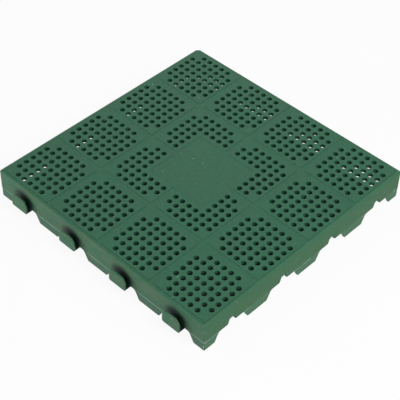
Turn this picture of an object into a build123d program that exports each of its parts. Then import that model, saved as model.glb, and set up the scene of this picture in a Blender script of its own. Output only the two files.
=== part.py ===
from build123d import *
from math import isclose
import os

# A drainage tile for a wet floor: one moulded piece of plastic.
# A perforated deck stands on its outer skirt and on ribs that cross below it.
# The skirt and the ribs are arched at every panel, so that water runs out on all four sides.
# Two sides carry tabs and the other two have slots, so that tiles laid side by side hook together.
# The origin is on the ground under the middle of the deck, +Z is up.
# The tabs are on the -X and -Y sides and the slots on the +X and +Y sides.

# Deck and skirt
tile_side = 400.0
tile_height = 48.0
deck_thickness = 5.0
skirt_thickness = 3.0
corner_radius = 1.6
top_edge_radius = 1.5
corner_cut = 4.5

# Panels: raised pads in a grid, with a plain strip between them
panels_per_side = 4
panel_pitch = 99.5
pad_side = 91.5
pad_raise = 0.6
centre_plate_side = 103.4

# Drainage holes: a square grid in each pad, without its four corner holes
# Those that only drain are drawn with few sides, as wide across the flats as the true circles
holes_per_row = 7
hole_pitch = 12.55
hole_diameter = 8.0
drain_hole_sides = 8

# Ribs below the deck, and the arches between the feet
rib_thickness = 2.5
arch_width_at_ground = 62.4
arch_width_at_top = 46.0
arch_height = 15.0
arch_corner_radius = 6.5
foot_corner_radius = 2.0
foot_setback = 0.2

# Slots above the arches of the two receiving sides
slot_mouth_width = 13.0
slot_top_width = 8.0
slot_height = 10.0
slot_mouth_radius = 4.0
slot_top_radius = 3.0

# Tabs: a flange that stands off the skirt on a shelf as wide as itself, with a narrow neck on it
tab_gap = 7.2
flange_thickness = 2.5
flange_width = 31.0
flange_height = 23.0
flange_bottom = 12.3
flange_top_radius = 11.0
flange_bottom_radius = 2.5
neck_side_clearance = 0.75
neck_top_clearance = 0.5

base_level = tile_height - pad_raise
deck_underside = base_level - deck_thickness
half_side = tile_side / 2
overcut = 2.0


def grid(count, pitch):
    """Evenly spaced places about zero."""
    return [(i - (count - 1) / 2) * pitch for i in range(count)]


panel_centres = grid(panels_per_side, panel_pitch)
rib_lines = grid(panels_per_side - 1, panel_pitch)


def hole_centres():
    """The holes of every pad, leaving out each pad's corners and the plain centre plate."""
    steps = grid(holes_per_row, hole_pitch)
    corner_step = steps[-1]
    centres = []
    for panel_x in panel_centres:
        for panel_y in panel_centres:
            for dx in steps:
                for dy in steps:
                    x, y = panel_x + dx, panel_y + dy
                    in_corner = abs(dx) == corner_step and abs(dy) == corner_step
                    in_plate = max(abs(x), abs(y)) < centre_plate_side / 2
                    if not in_corner and not in_plate:
                        centres.append((x, y))
    return centres


def takes_a_fastener(x, y):
    """Whether a hole is in one of three sets of four: near the tile's corners, in the middle
    of the corner panels, and round the centre plate."""
    inner, outer = panel_centres[-2], panel_centres[-1]
    sets = [
        (outer + 3 * hole_pitch, outer + 2 * hole_pitch),
        (outer, outer),
        (inner + hole_pitch, inner + hole_pitch),
    ]
    return any(isclose(abs(x), set_x) and isclose(abs(y), set_y) for set_x, set_y in sets)


def plan(side):
    """The outline of the tile from above: its far corner, at -X +Y, is cut across."""
    square = Rectangle(side, side)
    far_corner = square.vertices().sort_by_distance((-side, side))[0]
    return chamfer(far_corner, corner_cut)


def block():
    """The outer form of the tile, solid, with its corners and its top edge rounded."""
    outline = plan(tile_side)
    outline = fillet(outline.vertices(), corner_radius)
    solid = extrude(outline, amount=base_level)
    return fillet(solid.edges().group_by(Axis.Z)[-1], top_edge_radius)


def bays():
    """The open spaces below the deck, between the ribs and the skirt."""
    walls = [-half_side + skirt_thickness / 2] + rib_lines + [half_side - skirt_thickness / 2]
    thicknesses = [skirt_thickness] + [rib_thickness] * len(rib_lines) + [skirt_thickness]
    spans = []
    for near, far, near_wall, far_wall in zip(walls, walls[1:], thicknesses, thicknesses[1:]):
        spans.append((near + near_wall / 2, far - far_wall / 2))
    spaces = []
    for x_low, x_high in spans:
        for y_low, y_high in spans:
            space = Box(x_high - x_low, y_high - y_low, deck_underside + overcut, align=Align.MIN)
            spaces.append(Pos(x_low, y_low, -overcut) * space)
    return spaces


def flared_opening(bottom, height, mouth_width, top_width, mouth_radius, top_radius):
    """The outline of an opening that narrows upwards, with its top and its mouth rounded."""
    mouth, top = mouth_width / 2, top_width / 2
    lip = mouth + mouth_radius
    face = make_face(Polyline(
        (-lip, bottom - overcut),
        (-lip, bottom),
        (-mouth, bottom),
        (-top, bottom + height),
        (top, bottom + height),
        (mouth, bottom),
        (lip, bottom),
        (lip, bottom - overcut),
        close=True,
    ))
    face = fillet(face.vertices().group_by(Axis.Y)[-1], top_radius)
    mouth_corners = [face.vertices().sort_by_distance((x, bottom))[0] for x in (-mouth, mouth)]
    return fillet(mouth_corners, mouth_radius)


def on_both_axes(pieces):
    """The pieces, which face along Y, and their copies turned to face along X."""
    return pieces + [Rotation(0, 0, -90) * piece for piece in pieces]


def arches():
    """One long cut for each line of arches, through the skirt and every rib."""
    outline = flared_opening(0, arch_height, arch_width_at_ground, arch_width_at_top,
                             foot_corner_radius, arch_corner_radius)
    cut = extrude(Plane.XZ * outline, amount=half_side + overcut, both=True)
    return on_both_axes([Pos(centre, 0, 0) * cut for centre in panel_centres])


def slots():
    """The slots of the two receiving sides, from the tops of the arches, through the skirt alone."""
    outline = flared_opening(arch_height, slot_height, slot_mouth_width, slot_top_width,
                             slot_mouth_radius, slot_top_radius)
    cut = Pos(0, half_side + overcut, 0) * extrude(Plane.XZ * outline, amount=skirt_thickness + 2 * overcut)
    return on_both_axes([Pos(centre, 0, 0) * cut for centre in panel_centres])


def foot_recess():
    """The shallow step by which the feet stand back from the skirt above them."""
    foot_side = tile_side - 2 * foot_setback
    around = Rectangle(tile_side + 2 * overcut, tile_side + 2 * overcut)
    feet = plan(foot_side)
    feet = fillet(feet.vertices(), corner_radius - foot_setback)
    return Pos(0, 0, -overcut) * extrude(around - feet, amount=arch_height + overcut)


def tab():
    """A tab on the -Y side: a flange with a rounded top, and the shelf and neck that carry it."""
    flange = make_face(Polyline(
        (-flange_width / 2, flange_bottom),
        (-flange_width / 2, flange_bottom + flange_height),
        (flange_width / 2, flange_bottom + flange_height),
        (flange_width / 2, flange_bottom),
        close=True,
    ))
    flange = fillet(flange.vertices().group_by(Axis.Y)[-1], flange_top_radius)
    flange = fillet(flange.vertices().group_by(Axis.Y)[0], flange_bottom_radius)
    flange_back = -half_side - tab_gap
    flange_plate = Pos(0, flange_back, 0) * extrude(Plane.XZ * flange, amount=flange_thickness)
    shelf_middle = (flange_bottom + arch_height) / 2
    shelf = flange & Pos(0, shelf_middle) * Rectangle(flange_width, arch_height - flange_bottom)
    carrier = Pos(0, -half_side + skirt_thickness, 0) * extrude(
        Plane.XZ * shelf, amount=tab_gap + skirt_thickness)
    neck_width = slot_top_width - 2 * neck_side_clearance
    neck_height = slot_height - neck_top_clearance
    reach_into_skirt = skirt_thickness / 2
    neck = Box(neck_width, tab_gap + reach_into_skirt, neck_height, align=(Align.CENTER, Align.MIN, Align.MIN))
    carrier += Pos(0, flange_back, arch_height) * neck
    return flange_plate + carrier


def tabs():
    return on_both_axes([Pos(centre, 0, 0) * tab() for centre in panel_centres])


def pads():
    """The raised pads, the middle four cut back round the plain centre plate."""
    places = [Pos(x, y) for x in panel_centres for y in panel_centres]
    outline = Sketch() + [place * Rectangle(pad_side, pad_side) for place in places]
    outline -= Rectangle(centre_plate_side, centre_plate_side)
    return Pos(0, 0, base_level) * extrude(outline, amount=pad_raise)


def holes():
    """The cuts for all holes, through the deck and its pads."""
    circle = Circle(hole_diameter / 2)
    flats_along_axes = 180 / drain_hole_sides
    few_sided = RegularPolygon(hole_diameter / 2, drain_hole_sides, major_radius=False,
                               rotation=flats_along_axes)
    depth = deck_thickness + pad_raise + 2 * overcut
    cuts = []
    for x, y in hole_centres():
        outline = circle if takes_a_fastener(x, y) else few_sided
        cuts.append(Pos(x, y, deck_underside - overcut) * extrude(outline, amount=depth))
    return cuts


def build_tile():
    tile = block()
    tile -= bays()
    tile -= arches()
    tile -= slots()
    tile -= foot_recess()
    tile += tabs()
    tile += pads()
    tile -= holes()
    return tile


tile = build_tile()
tile.label = "drainage_tile"
print("holes", len(hole_centres()), "solids", len(tile.solids()), "volume cm3", round(tile.volume / 1000, 1))

os.makedirs("parts", exist_ok=True)
export_step(tile, "parts/drainage_tile.step")
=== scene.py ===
import bpy
import bmesh
from cmath import phase
from math import cos, pi, radians, sin, tan
from mathutils import Matrix, Vector


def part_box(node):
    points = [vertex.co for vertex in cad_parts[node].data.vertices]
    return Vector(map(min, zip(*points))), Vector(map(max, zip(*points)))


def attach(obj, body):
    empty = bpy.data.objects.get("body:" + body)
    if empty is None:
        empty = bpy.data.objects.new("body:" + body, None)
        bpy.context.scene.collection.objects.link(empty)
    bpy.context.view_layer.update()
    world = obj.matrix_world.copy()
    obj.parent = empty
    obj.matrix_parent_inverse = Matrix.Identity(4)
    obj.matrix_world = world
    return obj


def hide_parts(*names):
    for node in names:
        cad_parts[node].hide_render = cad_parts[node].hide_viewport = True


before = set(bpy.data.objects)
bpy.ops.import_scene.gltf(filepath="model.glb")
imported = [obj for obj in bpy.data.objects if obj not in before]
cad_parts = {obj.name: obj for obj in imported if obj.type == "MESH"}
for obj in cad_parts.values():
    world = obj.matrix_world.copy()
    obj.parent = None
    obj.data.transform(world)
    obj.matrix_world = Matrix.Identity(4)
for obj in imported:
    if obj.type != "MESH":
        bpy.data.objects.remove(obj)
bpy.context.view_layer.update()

# The body of the tile: the deck and its skirt are one injection-moulded shell of dark green
# polypropylene. The mould parts at the tops of the feet, which leaves a faint step round the
# skirt. One corner is cut across.
mm = 0.001
far_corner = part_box("drainage_tile")[1]
half_side = far_corner.x
tile_height = far_corner.z
pad_raise = 0.6 * mm
base_level = tile_height - pad_raise
deck_thickness = 5 * mm
deck_underside = base_level - deck_thickness
skirt_thickness = 3 * mm
corner_radius = 1.6 * mm
corner_cut = 4.5 * mm
top_edge_radius = 1.5 * mm
foot_setback = 0.2 * mm
arch_height = 15 * mm
edge_radius = 0.5 * mm
overcut = 2 * mm


def rounded_outline(corners, steps=5):
    """The points of an outline whose corners, given as (x, y, radius), are rounded by arcs."""
    points = []
    for k, (x, y, radius) in enumerate(corners):
        corner = complex(x, y)
        back = complex(*corners[k - 1][:2]) - corner
        onward = complex(*corners[(k + 1) % len(corners)][:2]) - corner
        back, onward = back / abs(back), onward / abs(onward)
        half_angle = abs(phase(onward / back)) / 2
        centre = corner + (back + onward) / abs(back + onward) * radius / sin(half_angle)
        spoke = corner + back * radius / tan(half_angle) - centre
        turn = (corner + onward * radius / tan(half_angle) - centre) / spoke
        points += [centre + spoke * turn ** (step / steps) for step in range(steps + 1)]
    return [(point.real, point.imag) for point in points]


def rectangle(half_x, half_y, radius):
    corners = [(-half_x, -half_y), (half_x, -half_y), (half_x, half_y), (-half_x, half_y)]
    return rounded_outline([(x, y, radius) for x, y in corners])


def into_object(name, solid):
    """A new object from a solid that was made in a bmesh, which is freed."""
    mesh = bpy.data.meshes.new(name)
    solid.to_mesh(mesh)
    solid.free()
    piece = bpy.data.objects.new(name, mesh)
    bpy.context.scene.collection.objects.link(piece)
    return piece


def lofted(name, rings):
    """A closed solid through rings of points, all with as many points, with flat ends."""
    count = len(rings[0])
    solid = bmesh.new()
    loops = [[solid.verts.new(point) for point in ring] for ring in rings]
    for near, far in zip(loops, loops[1:]):
        for k in range(count):
            after = (k + 1) % count
            solid.faces.new((near[k], near[after], far[after], far[k]))
    solid.faces.new(loops[0])
    solid.faces.new(loops[-1])
    bmesh.ops.recalc_face_normals(solid, faces=solid.faces)
    return into_object(name, solid)


def standing(name, outline_at, levels):
    """A solid whose outline lies flat and changes with height: levels are (height, inset)."""
    return lofted(name, [[(x, y, z) for x, y in outline_at(inset)] for z, inset in levels])


def lying(name, outline_at, stations):
    """A solid whose outline stands up and changes along Y: stations are (y, growth)."""
    return lofted(name, [[(x, y, z) for x, z in outline_at(growth)] for y, growth in stations])


def rounded_edge(start, end, steps=4):
    """A quarter circle from start to end, two (height, inset) pairs, bulging upwards first."""
    (z0, inset0), (z1, inset1) = start, end
    quarter = [pi / 2 * step / steps for step in range(steps + 1)]
    return [(z0 + (z1 - z0) * sin(a), inset0 + (inset1 - inset0) * (1 - cos(a))) for a in quarter]


def plan(inset):
    """The outline from above, with the far corner cut across, and all of it inset evenly."""
    half = half_side - inset
    cut = corner_cut - inset * (2 - 2 ** 0.5)
    corners = [(-half, -half), (half, -half), (half, half), (cut - half, half), (-half, half - cut)]
    return rounded_outline([(x, y, corner_radius - inset) for x, y in corners])


foot_edge = 0.25 * mm
body_levels = [
    (0, foot_setback + foot_edge),
    (foot_edge, foot_setback),
    (arch_height, foot_setback),
    (arch_height + foot_setback / 2, 0),
]
body_levels += rounded_edge((base_level - top_edge_radius, 0), (base_level, top_edge_radius))
tile = standing("moulded_tile", plan, body_levels)

# Ribs: below the deck the shell is hollowed panel by panel, which leaves a lattice of thin ribs
# that stand on the ground as the skirt does.
panels_per_side = 4
panel_pitch = 99.5 * mm
rib_thickness = 2.5 * mm
bay_corner_radius = 1.2 * mm
inner_half = (panel_pitch - rib_thickness) / 2
outer_half = (half_side - skirt_thickness - panel_pitch - rib_thickness / 2) / 2
outer_centre = half_side - skirt_thickness - outer_half
inner_centre = panel_pitch / 2


def bay_box(x, half_x, y, half_y):
    def outline(inset):
        corner = bay_corner_radius
        return [(x + dx, y + dy) for dx, dy in rectangle(half_x - inset, half_y - inset, corner)]

    return outline


def gathered(name, pieces):
    """One object that holds several solids, which don't touch."""
    whole = bmesh.new()
    for piece in pieces:
        whole.from_mesh(piece.data)
        bpy.data.objects.remove(piece)
    return into_object(name, whole)


bay_columns = [
    (-outer_centre, outer_half),
    (-inner_centre, inner_half),
    (inner_centre, inner_half),
    (outer_centre, outer_half),
]
bay_levels = [(-overcut, 0), (deck_underside - edge_radius, 0), (deck_underside, edge_radius)]
bays = gathered("bays", [
    standing("bay", bay_box(x, half_x, y, half_y), bay_levels)
    for x, half_x in bay_columns
    for y, half_y in bay_columns
])

# Arches and slots: a low arch opens the skirt and every rib under each panel, and lets the water
# run out. On the two receiving sides a narrow slot goes up from the top of each arch.
arch_width_at_ground = 62.4 * mm
arch_width_at_top = 46 * mm
arch_corner_radius = 6.5 * mm
foot_corner_radius = 2 * mm
slot_mouth_width = 13 * mm
slot_top_width = 8 * mm
slot_height = 10 * mm
slot_mouth_radius = 4 * mm
slot_top_radius = 3 * mm
lip_radius = 0.1 * mm


def flared_opening(bottom, height, mouth_width, top_width, mouth_radius, top_radius):
    """The outline of an opening that narrows upwards, as a function of how far it is grown."""

    def outline(growth):
        mouth, top = mouth_width / 2 + growth, top_width / 2 + growth
        lip = mouth + mouth_radius
        side = [
            (lip, bottom - overcut, lip_radius),
            (lip, bottom, lip_radius),
            (mouth, bottom, mouth_radius - growth),
            (top, bottom + height + growth, top_radius + growth),
        ]
        return rounded_outline(side + [(-x, z, radius) for x, z, radius in reversed(side)])

    return outline


def through(reach, face):
    """Stations of a cut that goes from -reach to reach, with its edges rounded at each face."""
    return [
        (-reach, edge_radius),
        (-face, edge_radius),
        (-face + edge_radius / 3, edge_radius / 3),
        (-face + edge_radius, 0),
        (face - edge_radius, 0),
        (face - edge_radius / 3, edge_radius / 3),
        (face, edge_radius),
        (reach, edge_radius),
    ]


arch_outline = flared_opening(
    0, arch_height, arch_width_at_ground, arch_width_at_top, foot_corner_radius, arch_corner_radius
)
slot_outline = flared_opening(
    arch_height, slot_height, slot_mouth_width, slot_top_width, slot_mouth_radius, slot_top_radius
)
arch = lying("arch", arch_outline, through(half_side + overcut, half_side - foot_setback))
slot = lying("slot", slot_outline, [
    (half_side - skirt_thickness - overcut, 0),
    (half_side - edge_radius, 0),
    (half_side - edge_radius / 3, edge_radius / 3),
    (half_side, edge_radius),
    (half_side + overcut, edge_radius),
])

# Tabs: on the other two sides a round-shouldered flange stands off the skirt on a shelf with a
# narrow neck. The skirt of the next tile comes down into the gutter between flange and skirt: its
# arch straddles the shelf, and its slot takes the neck.
tab_gap = 7.2 * mm
flange_thickness = 2.5 * mm
flange_width = 31 * mm
flange_height = 23 * mm
flange_bottom = 12.3 * mm
flange_top_radius = 11 * mm
flange_bottom_radius = 2.5 * mm
flange_edge = 0.7 * mm
neck_width = 6.5 * mm
neck_height = 9.5 * mm
shelf_inset = 0.1 * mm
shelf_radius = 0.4 * mm
shelf_root = 0.7 * mm
neck_root_radius = 0.6 * mm
neck_top_radius = 1 * mm


def flange_outline(growth):
    half_width = flange_width / 2 + growth
    bottom = flange_bottom - growth
    top = flange_bottom + flange_height + growth
    return rounded_outline([
        (-half_width, bottom, flange_bottom_radius + growth),
        (half_width, bottom, flange_bottom_radius + growth),
        (half_width, top, flange_top_radius + growth),
        (-half_width, top, flange_top_radius + growth),
    ])


def carrier_outline(rise):
    """The shelf, whose top rises towards the skirt, with the neck standing on its middle."""
    shelf_half = flange_width / 2 - shelf_inset
    shelf_top = arch_height + rise
    side = [
        (shelf_half, flange_bottom + shelf_inset, flange_bottom_radius - shelf_inset),
        (shelf_half, shelf_top, shelf_radius),
        (neck_width / 2, shelf_top, neck_root_radius),
        (neck_width / 2, arch_height + neck_height, neck_top_radius),
    ]
    return rounded_outline(side + [(-x, z, radius) for x, z, radius in reversed(side)])


flange_back = -half_side - tab_gap
flange_front = flange_back - flange_thickness
flange = lying("flange", flange_outline, [
    (flange_front, -flange_edge),
    (flange_front + flange_edge / 4, -flange_edge / 4),
    (flange_front + flange_edge, 0),
    (flange_back - flange_edge, 0),
    (flange_back - flange_edge / 4, -flange_edge / 4),
    (flange_back, -flange_edge),
])
carrier = lying("carrier", carrier_outline, [
    (flange_back - flange_thickness / 2, 0),
    (-half_side - shelf_root, 0),
    (-half_side, shelf_root),
    (-half_side + skirt_thickness - shelf_inset, shelf_root),
])

# Pads: the deck carries a raised pad on each panel, with a plain strip between the pads. The four
# in the middle are cut back round a plain square plate.
pad_half = 45.75 * mm
plate_half = 51.7 * mm
pad_corner_radius = 0.8 * mm
pad_edge = 0.3 * mm
pad_overlap = 1 * mm
pad = standing(
    "pad",
    lambda inset: rectangle(pad_half - inset, pad_half - inset, pad_corner_radius),
    [(base_level - pad_overlap, 0)]
    + rounded_edge((tile_height - pad_edge, 0), (tile_height, pad_edge), 2),
)
plate = standing(
    "plate",
    lambda inset: rectangle(plate_half - inset, plate_half - inset, pad_corner_radius),
    [
        (base_level - overcut, 0),
        (tile_height - pad_edge, 0),
        (tile_height, -pad_edge),
        (tile_height + overcut, -pad_edge),
    ],
)

# Drainage holes: round, in a square grid on each pad without its four corners. They narrow a
# little downwards, so that the tile leaves its mould, and have a small rounding at the rim.
holes_per_row = 7
hole_pitch = 12.55 * mm
hole_radius = 4 * mm
hole_edge = 0.2 * mm
hole_draft = 0.45 * mm
hole_sides = 20


def circle(inset):
    turns = [2 * pi * side / hole_sides for side in range(hole_sides)]
    return [((hole_radius - inset) * cos(a), (hole_radius - inset) * sin(a)) for a in turns]


hole_levels = [(deck_underside - overcut, hole_draft)]
hole_levels += rounded_edge((tile_height - hole_edge, 0), (tile_height, -hole_edge), 3)
hole_levels += [(tile_height + overcut, -hole_edge)]
hole = standing("hole", circle, hole_levels)


class Socket:
    """A node's output that takes Python's operators and adds the Math nodes that they need."""

    def __init__(self, tree, output):
        self.tree = tree
        self.output = output

    def maths(self, operation, *others):
        return self.tree.node("ShaderNodeMath", {"operation": operation}, [self, *others])

    def __add__(self, other):
        return self.maths("ADD", other)

    def __sub__(self, other):
        return self.maths("SUBTRACT", other)

    def __rsub__(self, other):
        return self.tree.node("ShaderNodeMath", {"operation": "SUBTRACT"}, [other, self])

    def __mul__(self, other):
        return self.maths("MULTIPLY", other)

    def __truediv__(self, other):
        return self.maths("DIVIDE", other)

    def __pow__(self, other):
        return self.maths("POWER", other)

    def __abs__(self):
        return self.maths("ABSOLUTE")

    def __lt__(self, other):
        return self.maths("LESS_THAN", other)

    def __gt__(self, other):
        return self.maths("GREATER_THAN", other)

    __radd__ = __add__
    __rmul__ = __mul__


class Tree:
    """A node tree, of a material or of geometry, that is built by calls."""

    def __init__(self, tree):
        self.tree = tree

    def node(self, kind, settings=None, values=None, output=0):
        """Adds a node: its settings first, then its inputs, by name or in order."""
        made = self.tree.nodes.new(kind)
        for name, setting in (settings or {}).items():
            setattr(made, name, setting)
        if not isinstance(values, dict):
            values = dict(enumerate(values or []))
        for key, value in values.items():
            for part in value if isinstance(value, list) else [value]:
                if isinstance(part, Socket):
                    self.tree.links.new(part.output, made.inputs[key])
                else:
                    made.inputs[key].default_value = part
        return Socket(self, made.outputs[output]) if made.outputs else None

    def outputs(self, socket):
        """All outputs of the node that a socket belongs to."""
        return [Socket(self, output) for output in socket.output.node.outputs]


# The whole tile: a geometry tree cuts the bays, arches and slots from the body, sets the pads and
# tabs on it, and cuts the holes last, as the one mould does at a stroke.
moulding = bpy.data.node_groups.new("moulding", "GeometryNodeTree")
moulding.is_modifier = True
shape = Tree(moulding)
tree_inputs = {
    "Geometry": ("NodeSocketGeometry", None),
    "Panels per side": ("NodeSocketInt", panels_per_side),
    "Panel pitch": ("NodeSocketFloat", panel_pitch),
    "Holes per row": ("NodeSocketInt", holes_per_row),
    "Hole pitch": ("NodeSocketFloat", hole_pitch),
    "Plate half side": ("NodeSocketFloat", plate_half),
    "Bays": ("NodeSocketObject", bays),
    "Arch": ("NodeSocketObject", arch),
    "Slot": ("NodeSocketObject", slot),
    "Flange": ("NodeSocketObject", flange),
    "Carrier": ("NodeSocketObject", carrier),
    "Pad": ("NodeSocketObject", pad),
    "Plate": ("NodeSocketObject", plate),
    "Hole": ("NodeSocketObject", hole),
}
sockets = {
    name: moulding.interface.new_socket(name, in_out="INPUT", socket_type=kind)
    for name, (kind, value) in tree_inputs.items()
}
moulding.interface.new_socket("Geometry", in_out="OUTPUT", socket_type="NodeSocketGeometry")
given = moulding.nodes.new("NodeGroupInput")


def take(name):
    return Socket(shape, given.outputs[name])


def the_piece(name):
    return shape.node("GeometryNodeObjectInfo", None, {"Object": take(name)}, "Geometry")


def copies(points, piece):
    """A copy of a piece at each point, as mesh."""
    placed = shape.node("GeometryNodeInstanceOnPoints", None, {"Points": points, "Instance": piece})
    return shape.node("GeometryNodeRealizeInstances", None, [placed])


def square_grid(count, pitch):
    size = pitch * (count - 1)
    sizes = {"Size X": size, "Size Y": size, "Vertices X": count, "Vertices Y": count}
    return shape.node("GeometryNodeMeshGrid", None, sizes)


def without(points, unwanted):
    return shape.node("GeometryNodeDeleteGeometry", None, {"Geometry": points, "Selection": unwanted})


def turned(solid):
    """The pieces of the -Y or +Y side, turned to the -X or +X side."""
    return shape.node("GeometryNodeTransform", None, {"Geometry": solid, "Rotation": (0, 0, -pi / 2)})


def solids(operation, values):
    settings = {"operation": operation, "solver": "MANIFOLD"}
    return shape.node("GeometryNodeMeshBoolean", settings, values)


def cut(solid, *tools):
    return solids("DIFFERENCE", {"Mesh 1": solid, "Mesh 2": list(tools)})


def joined(*parts):
    return solids("UNION", {"Mesh 2": list(parts)})


def place():
    """Where each point of the mesh at hand is, as (x, y)."""
    position = shape.node("GeometryNodeInputPosition")
    return shape.outputs(shape.node("ShaderNodeSeparateXYZ", None, [position]))[:2]


panels = square_grid(take("Panels per side"), take("Panel pitch"))
row_start = take("Panel pitch") * (take("Panels per side") - 1) * -0.5
row = shape.node("GeometryNodeMeshLine", None, {
    "Count": take("Panels per side"),
    "Start Location": shape.node("ShaderNodeCombineXYZ", None, [row_start]),
    "Offset": shape.node("ShaderNodeCombineXYZ", None, [take("Panel pitch")]),
})
hollow = cut(take("Geometry"), the_piece("Bays"))
arch_row = copies(row, the_piece("Arch"))
hollow = cut(hollow, arch_row)
hollow = cut(hollow, turned(arch_row))
slot_row = copies(row, the_piece("Slot"))
hollow = cut(hollow, slot_row, turned(slot_row))
tab_row = joined(copies(row, the_piece("Flange")), copies(row, the_piece("Carrier")))
pads = cut(copies(panels, the_piece("Pad")), the_piece("Plate"))
unpierced = joined(hollow, pads, tab_row, turned(tab_row))

x, y = place()
corner_reach = take("Hole pitch") * (take("Holes per row") - 1.5)
hole_grid = square_grid(take("Holes per row"), take("Hole pitch"))
hole_grid = without(hole_grid, (abs(x) + abs(y)) > corner_reach)
hole_points = copies(panels, hole_grid)
farther = abs(x).maths("MAXIMUM", abs(y))
hole_points = without(hole_points, farther < take("Plate half side"))
pierced = cut(unpierced, copies(hole_points, the_piece("Hole")))

# The plastic: matte polypropylene, pigmented in the mass, with a faint grain from the mould.
# Use has mottled it, dusted the walls, scuffed it white in places and worn the parting line pale. Its
# colour also holds painted light and shade: sheen on the walls, highlights on the parting line and
# near corner, lighter feet and slotted border, and shade in the holes, at the pad edges and round the
# flanges.
plastic = bpy.data.materials.new("green_polypropylene")
plastic.use_nodes = True
plastic.node_tree.nodes.clear()
look = Tree(plastic.node_tree)


def colour(red, green, blue):
    """A colour given as it is seen, on a scale of 0 to 255, in the renderer's linear values."""
    return tuple((value / 255) ** 2.2 for value in (red, green, blue)) + (1,)


deck_green = colour(40, 92, 66)
worn_green = colour(49, 102, 75)
olive_green = colour(48, 96, 54)
dust_and_sheen_grey = colour(110, 116, 92)
scuff_and_glint_white = colour(205, 215, 205)
pale_green = colour(90, 140, 108)
pale_blue = colour(70, 88, 100)
slate = colour(20, 26, 30)
shade_green = colour(24, 52, 38)
where = look.node("ShaderNodeTexCoord", output="Object")
x, y, height = look.outputs(look.node("ShaderNodeSeparateXYZ", None, [where]))
outward = abs(x).maths("MAXIMUM", abs(y))
along_side = abs(x).maths("MINIMUM", abs(y))
from_panel_middle = abs(along_side.maths("MODULO", panel_pitch) - panel_pitch / 2)


def cloud(size, detail, stretch=(1, 1, 1)):
    """Noise from 0 to 1 with features of about that size."""
    scaled = look.node("ShaderNodeMapping", None, {"Vector": where, "Scale": stretch})
    values = {"Vector": scaled, "Scale": 1 / size, "Detail": detail, "Roughness": 0.55}
    return look.node("ShaderNodeTexNoise", None, values)


def smooth(value, start, end):
    """0 up to start and 1 from end on, with a smooth step between them."""
    values = {"Value": value, "From Min": start, "From Max": end}
    return look.node("ShaderNodeMapRange", {"interpolation_type": "SMOOTHSTEP"}, values)


def band(value, middle, half_width):
    """1 at the middle, falling to 0 at half_width from it."""
    return 1 - smooth(abs(value - middle), 0, half_width)


def blend(amount, under, over):
    values = {"Factor": amount, "A": under, "B": over}
    mixed = look.node("ShaderNodeMix", {"data_type": "RGBA"}, values)
    return look.outputs(mixed)[2]


def on_wall_of(distance):
    """1 on the walls, 0 on the deck, for a distance from the tile's middle."""
    return smooth(distance, half_side - 1.2 * mm, half_side - 0.3 * mm)


def on_border_of(distance):
    """1 on the border outside the pads and beyond it, for a distance from the tile's middle."""
    return smooth(distance, half_side - 5 * mm, half_side - 4 * mm)


# Everywhere: a mottled green with a fine grain.
patch_size = 60 * mm
blotch_size = 9 * mm
speckle_size = 3.5 * mm
grain_size = 1.6 * mm
patches = smooth(cloud(patch_size, 4), 0.3, 0.7)
blotches = smooth(cloud(blotch_size, 3), 0.3, 0.7)
mottling = patches * 0.6 + blotches * 0.4
grain = cloud(grain_size, 2)
speckle = smooth(cloud(speckle_size, 2), 0.35, 0.8)
green = blend(mottling, deck_green, worn_green)
green = blend((grain - 0.5) * 0.8 + speckle * 0.25, green, shade_green)

# Dust and painted sheen: the walls greyer in level streaks, but not high on the slotted one.
level_streaks = (1, 1, 3)
dust_and_sheen_size = 30 * mm
dust_and_sheen_strength = 0.28
on_wall = on_wall_of(outward)
slot_wall = on_wall_of(x)
dust_and_sheen = on_wall * smooth(cloud(dust_and_sheen_size, 3, level_streaks), 0.3, 0.7) * dust_and_sheen_strength
dust_and_sheen = dust_and_sheen * (1 - slot_wall * smooth(height, arch_height, tile_height))
green = blend(dust_and_sheen, green, dust_and_sheen_grey)

# The border: painted light on the slotted side, and a line of painted shade along the step where the
# pads begin.
border_painted_light = 0.2
border_line_place = half_side - 5.2 * mm
border_line_half_width = 0.9 * mm
border_line_strength = 0.3
on_deck = smooth(height, base_level - 1 * mm, base_level)
border_line = band(outward, border_line_place, border_line_half_width) * on_deck
green = blend(on_border_of(x) * on_deck * border_painted_light, green, pale_green)
green = blend(border_line * border_line_strength, green, shade_green)

# Painted shade: dark in the gutters behind the flanges, and fading round them on the wall, where the
# flanges shade it.
shade_half_width = 23 * mm
shade_half_height = 19 * mm
shade_middle = 24 * mm
shade_on_wall = 0.85
shade_in_gutter = 0.9
flange_reach = half_side + tab_gap
tabbed = on_wall_of(x.maths("MINIMUM", y) * -1)
near_tab = (from_panel_middle / shade_half_width) ** 2
near_tab = near_tab + ((height - shade_middle) / shade_half_height) ** 2
in_gutter = smooth(outward, half_side + 0.2 * mm, half_side + 0.6 * mm)
in_gutter = in_gutter * (1 - smooth(outward, flange_reach - 0.5 * mm, flange_reach))
painted_tab_shade = tabbed * (1 - smooth(near_tab, 0.3, 1.05)) * (1 - in_gutter) * shade_on_wall
painted_tab_shade = painted_tab_shade + in_gutter * shade_in_gutter
painted_tab_shade = painted_tab_shade * (1 - smooth(outward, flange_reach - 0.3 * mm, flange_reach + 0.2 * mm))
green = blend(painted_tab_shade, green, slate)

# The insides of the holes: painted shade, darker below the rim.
painted_hole_shade = 0.32
in_hole = smooth(base_level - height, 0.1 * mm, 0.6 * mm) * (1 - on_border_of(outward))
green = blend(in_hole * painted_hole_shade, green, slate)

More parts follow.
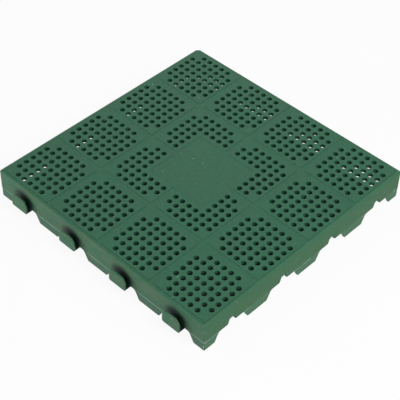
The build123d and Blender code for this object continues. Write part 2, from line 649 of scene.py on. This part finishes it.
# The tones of the walls: olive streaks on the slotted one, and painted light on the feet, where the
# bright floor lights them from below: paler on the slotted side, bluish on the tabbed one.
olive_size = 25 * mm
olive_strength = 0.8
slotted_foot_painted_light = 0.2
tabbed_foot_painted_light = 0.12
below_line = on_wall * (1 - smooth(height, arch_height - 0.5 * mm, arch_height + 0.5 * mm))
streaks = smooth(cloud(olive_size, 3, level_streaks), 0.3, 0.7)
green = blend(slot_wall * (1 - below_line) * streaks * olive_strength, green, olive_green)
green = blend(below_line * slot_wall * slotted_foot_painted_light, green, pale_green)
green = blend(below_line * (1 - slot_wall) * tabbed_foot_painted_light, green, pale_blue)

# The parting line: pale, partly worn and partly a painted highlight on the edge of the step, between
# the arches, in dashes on the slotted wall, and unbroken round the near corner.
dash_length = 12 * mm
fade_length = 14 * mm
line_half_width = 0.8 * mm
glint_and_wear_paleness = 0.9
corner_to_corner = 2 * half_side
near_corner = smooth(x - y, corner_to_corner - 40 * mm, corner_to_corner - 30 * mm)
dashes = smooth(cloud(dash_length, 2), 0.5, 0.56) * 0.8 + 0.2
fading = smooth(cloud(fade_length, 2), 0.25, 0.5)
glint_and_wear_pattern = blend(slot_wall, fading, dashes).maths("MAXIMUM", near_corner)
parting_glint_and_wear = band(height, arch_height, line_half_width) * on_wall
parting_glint_and_wear = parting_glint_and_wear * smooth(from_panel_middle, 19 * mm, 22 * mm)
parting_glint_and_wear = parting_glint_and_wear * glint_and_wear_pattern
parting_glint_and_wear = parting_glint_and_wear * (1 - smooth(outward, half_side + 0.5 * mm, half_side + 1 * mm))
green = blend(parting_glint_and_wear * glint_and_wear_paleness, green, scuff_and_glint_white)

# Nicks: small and white, longer ones on the walls, and along the near corner some wear with a painted
# highlight of the rounded edge.
nick_size = 4 * mm
scratch_size = 5 * mm
scratch_stretch = (1, 0.25, 0.4)
nick_paleness = 0.6
corner_wear_and_glint = smooth(x - y, corner_to_corner - 3.5 * mm, corner_to_corner - 1.5 * mm) * 0.25
nicks = smooth(cloud(nick_size, 1), 0.765, 0.80)
scratches = smooth(cloud(scratch_size, 1, scratch_stretch), 0.75, 0.80) * on_wall
nicks = nicks.maths("MAXIMUM", scratches)
nicks = nicks.maths("MAXIMUM", smooth(cloud(scratch_size, 2), 0.5, 0.75) * corner_wear_and_glint)
green = blend(nicks * nick_paleness, green, scuff_and_glint_white)

# The finish: duller where the dust-and-sheen streaks lie, and very slightly wavy.
wave_length = 22 * mm
wave_height = 0.35 * mm
grain_height = 0.03 * mm
dullness = mottling * 0.1 + grain * 0.1 + dust_and_sheen * 0.3 + 0.5
waves = cloud(wave_length, 2) * wave_height + grain * grain_height
relief = look.node("ShaderNodeBump", None, {"Strength": 0.6, "Distance": 1.0, "Height": waves})
surface = look.node("ShaderNodeBsdfPrincipled", None, {
    "Base Color": green,
    "Roughness": dullness,
    "Normal": relief,
    "IOR": 1.49,
    "Specular IOR Level": 0.35,
})
look.node("ShaderNodeOutputMaterial", None, {"Surface": surface})

finished = shape.node("GeometryNodeRealizeInstances", None, [pierced])
finished = shape.node("GeometryNodeSetMaterial", None, {"Geometry": finished, "Material": plastic})
shape.node("NodeGroupOutput", None, [finished])

moulder = tile.modifiers.new("moulding", "NODES")
moulder.node_group = moulding
for name, (kind, value) in tree_inputs.items():
    if value is not None:
        moulder[sockets[name].identifier] = value
tools = [bays, arch, slot, flange, carrier, pad, plate, hole]
for tool in tools:
    tool.hide_render = True


def settle(piece):
    """Makes the piece a plain mesh, as its modifiers leave it."""
    evaluated = piece.evaluated_get(bpy.context.evaluated_depsgraph_get())
    piece.data = bpy.data.meshes.new_from_object(evaluated)
    piece.modifiers.clear()


settle(tile)
for tool in tools:
    bpy.data.objects.remove(tool)
sharp_angle = radians(40)
tile.data.shade_smooth()
tile.data.set_sharp_from_angle(angle=sharp_angle)
weighted = tile.modifiers.new("even_normals", "WEIGHTED_NORMAL")
weighted.keep_sharp = True
settle(tile)
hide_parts("drainage_tile")
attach(tile, "root")

# The floor: plain white paper. Seen directly it is pure white round the tile, with a light shadow.
# Under the deck its colour is a painted shadow, dark apart from a margin inside the skirt that is
# painted as lit through the arches.
floor_side = 12
bpy.ops.mesh.primitive_plane_add(size=floor_side)
floor = bpy.context.object
floor.name = "floor"
paper = bpy.data.materials.new("white_paper")
paper.use_nodes = True
paper.node_tree.nodes.clear()
sheet = Tree(paper.node_tree)
paper_whiteness = 0.95
shaded_ground = (0.07, 0.10, 0.09, 1)
paper_shadow = 0.08
# Where the painted shadow under the tile lies, and how soft its edge is.
dark_middle = (-4.25 * mm, -1.25 * mm)
dark_half_x = 191 * mm
dark_half_y = 187.75 * mm
margin_blur = 1.5 * mm


def seen_directly(tree):
    """1 where the camera, or a mirror or glass that it looks at, sees the surface."""
    path = {output.output.name: output for output in tree.outputs(tree.node("ShaderNodeLightPath"))}
    seen = path["Is Camera Ray"].maths("MAXIMUM", path["Is Glossy Ray"])
    return seen.maths("MAXIMUM", path["Is Transmission Ray"])


position = sheet.node("ShaderNodeTexCoord", output="Object")
across, along = sheet.outputs(sheet.node("ShaderNodeSeparateXYZ", None, [position]))[:2]
past_x = abs(across - dark_middle[0]) - dark_half_x
past_y = abs(along - dark_middle[1]) - dark_half_y
outside = sheet.node("ShaderNodeMapRange", {"interpolation_type": "SMOOTHSTEP"}, {
    "Value": past_x.maths("MAXIMUM", past_y),
    "From Min": -margin_blur,
    "From Max": margin_blur,
})
tone = sheet.outputs(sheet.node("ShaderNodeMix", {"data_type": "RGBA"}, {
    "Factor": outside,
    "A": shaded_ground,
    "B": (paper_whiteness,) * 3 + (1,),
}))[2]
matte = sheet.node("ShaderNodeBsdfDiffuse", None, {"Color": tone})
bright = sheet.node("ShaderNodeEmission", None, {"Strength": 1.0})
whitened = seen_directly(sheet) * outside * (1 - paper_shadow)
mixed = sheet.node("ShaderNodeMixShader", None, [whitened, matte, bright])
sheet.node("ShaderNodeOutputMaterial", None, {"Surface": mixed})
floor.data.materials.append(paper)

# The studio: a white surround, and large soft lamps: two low ones on the left and in front, one
# high on the right, which lights the insides of the holes, and a weak one at the back.
world = bpy.data.worlds.new("surround")
world.use_nodes = True
world.node_tree.nodes.clear()
surround = Tree(world.node_tree)
surround_light = 0.25
strength = seen_directly(surround) * (1 - surround_light) + surround_light
air = surround.node("ShaderNodeBackground", None, {"Color": (1, 1, 1, 1), "Strength": strength})
surround.node("ShaderNodeOutputWorld", None, {"Surface": air})
bpy.context.scene.world = world


def soft_lamp(name, azimuth, elevation, distance, size, power):
    """A round soft lamp aimed at the tile: azimuth 0 is in front, on -Y, and 90 on +X."""
    side, height = radians(azimuth), radians(elevation)
    away = Vector((sin(side) * cos(height), -cos(side) * cos(height), sin(height)))
    light = bpy.data.lights.new(name, "AREA")
    light.shape = "DISK"
    light.size = size
    light.energy = power
    lamp = bpy.data.objects.new(name, light)
    lamp.location = away * distance
    lamp.rotation_euler = away.to_track_quat("Z", "Y").to_euler()
    bpy.context.scene.collection.objects.link(lamp)


soft_lamp("left", -50, 5, 2, 0.6, 22.5)
soft_lamp("front", 0, 5, 2, 0.6, 6)
soft_lamp("high", 92, 45, 2, 0.9, 24)
soft_lamp("back", -135, 40, 2, 0.9, 5.5)

# The camera stands where the photographer stood, high over the corner between the tabbed and the
# slotted side. A small shift of the lens completes the framing.
camera_place = Vector((0.8168, -0.8765, 1.1661))
camera_aim = Vector((0.0195, -0.0303, 0.024))
camera_roll = radians(1.315)
photo_width = 400
photo_focal = 1164.5
lens_offset = Vector((4.3, 0.2))
lens = bpy.data.cameras.new("lens")
lens.sensor_width = 36
lens.lens = photo_focal / photo_width * lens.sensor_width
lens.shift_x, lens.shift_y = lens_offset / photo_width
camera = bpy.data.objects.new("camera", lens)
look_along = (camera_aim - camera_place).to_track_quat("-Z", "Y").to_matrix()
camera.matrix_world = (
    Matrix.Translation(camera_place) @ (look_along @ Matrix.Rotation(camera_roll, 3, "Z")).to_4x4()
)
bpy.context.scene.collection.objects.link(camera)
bpy.context.scene.camera = camera
bpy.context.scene.view_settings.view_transform = "Standard"
